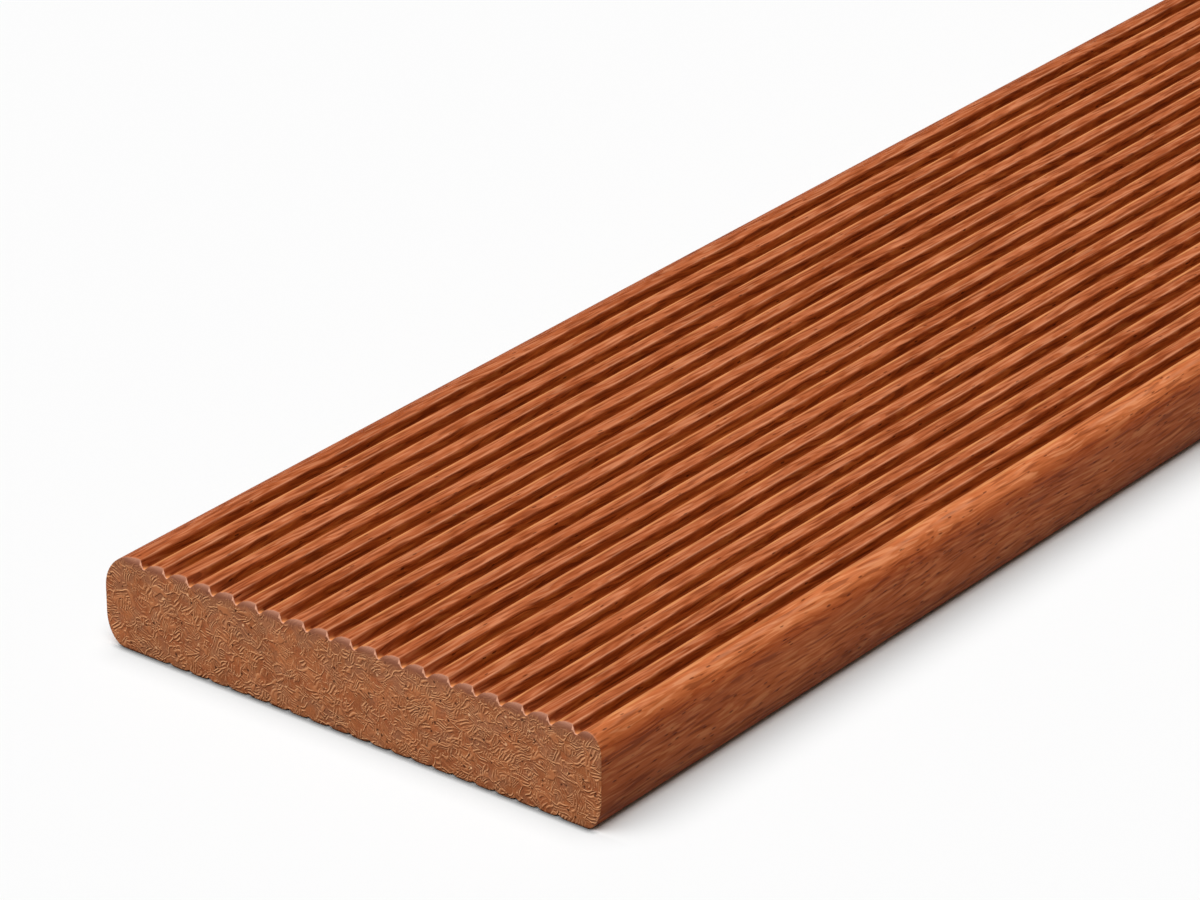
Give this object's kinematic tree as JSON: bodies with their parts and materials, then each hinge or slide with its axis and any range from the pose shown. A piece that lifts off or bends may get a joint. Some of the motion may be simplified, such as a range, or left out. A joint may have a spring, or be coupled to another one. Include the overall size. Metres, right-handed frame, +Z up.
{
  "type": "decking board",
  "caption": "Ribbed hardwood decking board with a grooved tread face, rounded long edges and a finely notched underside, laid flat across joists.",
  "frame": {"origin": "middle of the underside, on the level that the board rests on", "axes": "+Z up out of the ribbed tread face, +Y along the board's length, +X across its width towards the narrow plain margin"},
  "size_m": [0.145, 1.8, 0.0245],
  "materials": {
    "hardwood": "planed and oiled, satin, with matte sawn ends"
  },
  "bodies": {
    "root": {"decking_board": "hardwood"}
  },
  "joints": []
}
